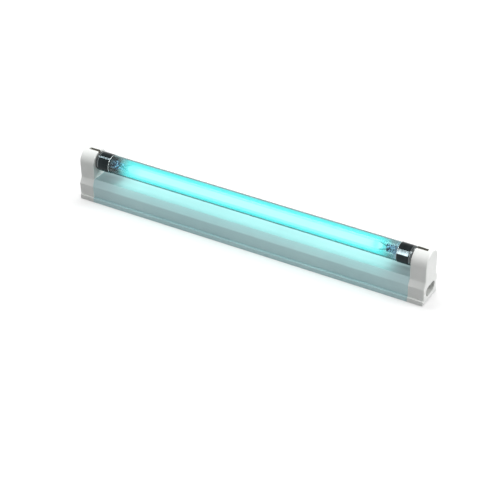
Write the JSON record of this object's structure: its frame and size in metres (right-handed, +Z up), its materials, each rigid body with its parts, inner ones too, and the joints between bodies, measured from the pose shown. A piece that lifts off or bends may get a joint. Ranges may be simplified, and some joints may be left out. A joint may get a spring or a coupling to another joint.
{
  "type": "germicidal uv lamp",
  "caption": "Slim batten with a clear quartz discharge tube held between two moulded end caps, ballast inside and a supply socket in each end",
  "frame": {"origin": "centre of the underside, midway along the lamp", "axes": "+X along the lamp, +Y from the front to the back, +Z up from the underside to the tube"},
  "size_m": [0.3164, 0.026, 0.0436],
  "materials": {
    "housing_aluminium": "satin, silver anodised",
    "plate_plastic": "matt white",
    "cap_plastic": "fine moulded satin, white",
    "block_plastic": "moulded, off-white",
    "rotor_plastic": "moulded, white",
    "contact_bronze": "sprung sheet",
    "pin_nickel": "bright plated",
    "base_metal": "bright rolled sheet",
    "disc_board": "pressed laminate",
    "quartz": "clear fused quartz",
    "lead_in_nickel": "drawn wire",
    "filament_tungsten": "coiled wire, coated",
    "screw_steel": "zinc plated",
    "board_laminate": "bare laminate",
    "ferrite": "sintered",
    "bobbin_plastic": "moulded black",
    "copper_wire": "enamelled",
    "toroid_coat": "epoxy coat",
    "can_sleeve": "shrunk sleeve",
    "film_box": "potted box",
    "moulded_black": "moulded epoxy",
    "resistor_coat": "lacquered",
    "lead_brown": "insulated lead",
    "lead_blue": "insulated lead",
    "lead_white": "insulated lead"
  },
  "bodies": {
    "fixture": {"housing": "housing_aluminium", "base_plate": "plate_plastic", "end_cap_left": "cap_plastic", "end_cap_right": "cap_plastic", "contact_block_left": "block_plastic", "contact_block_right": "block_plastic", "lamp_contacts_left": "contact_bronze", "lamp_contacts_right": "contact_bronze", "inlet_pins_left": "pin_nickel", "inlet_pins_right": "pin_nickel", "cap_screws": "screw_steel", "ballast_board": "board_laminate", "choke_core": "ferrite", "choke_bobbin": "bobbin_plastic", "choke_winding": "copper_wire", "drive_toroid": "toroid_coat", "bulk_capacitor": "can_sleeve", "film_capacitors": "film_box", "transistors": "moulded_black", "rectifier_diodes": "moulded_black", "resistors": "resistor_coat", "supply_leads": "lead_brown", "link_leads": "lead_blue", "lamp_leads_left": "lead_white", "lamp_leads_right": "lead_white"},
    "tube": {"tube_glass": "quartz", "base_shell_left": "base_metal", "base_shell_right": "base_metal", "base_disc_left": "disc_board", "base_disc_right": "disc_board", "base_pins_left": "pin_nickel", "base_pins_right": "pin_nickel", "stem_left": "quartz", "stem_right": "quartz", "lead_in_wires_left": "lead_in_nickel", "lead_in_wires_right": "lead_in_nickel", "filament_left": "filament_tungsten", "filament_right": "filament_tungsten", "rotor_left": "rotor_plastic", "rotor_right": "rotor_plastic"}
  },
  "joints": [
    {"name": "tube_twist", "type": "hinge", "parent": "fixture", "child": "tube", "pos_m": [0, 0, 0.0346], "axis": [1, 0, 0], "range_deg": [0, 90]}
  ]
}
